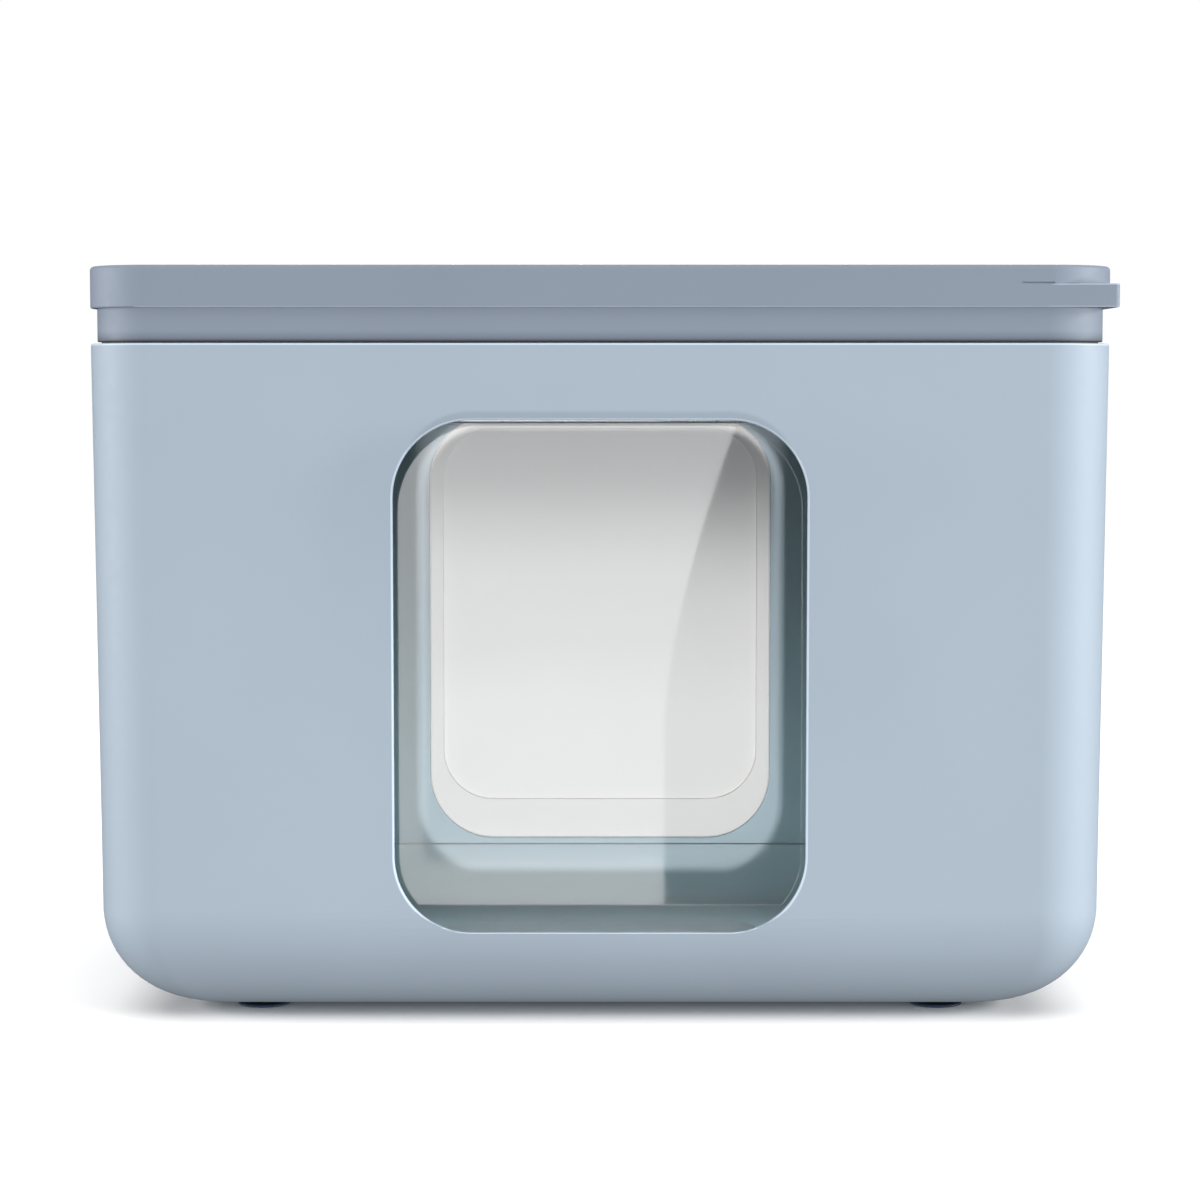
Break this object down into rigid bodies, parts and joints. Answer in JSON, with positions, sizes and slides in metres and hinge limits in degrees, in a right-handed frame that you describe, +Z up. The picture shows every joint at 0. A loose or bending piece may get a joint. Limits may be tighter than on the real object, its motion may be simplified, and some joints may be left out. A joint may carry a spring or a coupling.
{
  "type": "cat litter box with hood",
  "caption": "Hooded cat litter box: rounded blue-grey housing with a clear swing flap in a tall rounded opening, lift-off lid with a corner tab, inner tray and small feet.",
  "frame": {"origin": "middle of the footprint, on the floor under the feet", "axes": "+Z up, -Y towards the front opening, +X to the right seen from the front"},
  "size_m": [0.54, 0.35, 0.4],
  "materials": {
    "body_plastic": "pale blue-grey moulded plastic, fine satin grain",
    "tray_plastic": "blue-grey moulded plastic, satin",
    "lid_plastic": "deeper blue-grey moulded plastic, fine satin grain",
    "seal_rubber": "soft dark gasket",
    "filter_foam": "open charcoal foam",
    "clear_plastic": "clear glossy sheet",
    "steel": "bright drawn wire and screws",
    "panel_white": "white moulded plastic, semi-gloss",
    "panel_opal": "opal sheet, semi-gloss",
    "foot_rubber": "matt blue-black rubber"
  },
  "bodies": {
    "base": {"housing": "body_plastic", "collar": "lid_plastic", "flap_rod": "steel", "flap_bracket_left": "body_plastic", "flap_bracket_right": "body_plastic", "bracket_screw_1": "steel", "bracket_screw_2": "steel", "bracket_screw_3": "steel", "bracket_screw_4": "steel", "foot_front_left": "foot_rubber", "foot_front_right": "foot_rubber", "foot_rear_left": "foot_rubber", "foot_rear_right": "foot_rubber"},
    "tray": {"litter_tray": "tray_plastic"},
    "lid": {"lid": "lid_plastic", "lid_seal": "seal_rubber"},
    "filter": {"filter_cassette": "lid_plastic", "filter_pad": "filter_foam"},
    "flap": {"flap_pane": "clear_plastic"},
    "rear_panel": {"rear_panel_frame": "panel_white", "rear_panel_pane": "panel_opal"}
  },
  "joints": [
    {"name": "flap_swing", "type": "hinge", "parent": "base", "child": "flap", "pos_m": [0, -0.1671, 0.3193], "axis": [1, 0, 0], "range_deg": [-55, 80]},
    {"name": "lid_lift", "type": "slide", "parent": "base", "child": "lid", "axis": [0, 0, 1], "range_m": [0, 0.12]},
    {"name": "tray_lift", "type": "slide", "parent": "base", "child": "tray", "axis": [0, 0, 1], "range_m": [0, 0.15]},
    {"name": "rear_panel_pull", "type": "slide", "parent": "base", "child": "rear_panel", "axis": [0, 1, 0], "range_m": [0, 0.06]},
    {"name": "filter_slide", "type": "slide", "parent": "lid", "child": "filter", "axis": [0, -1, 0], "range_m": [0, 0.075]}
  ]
}
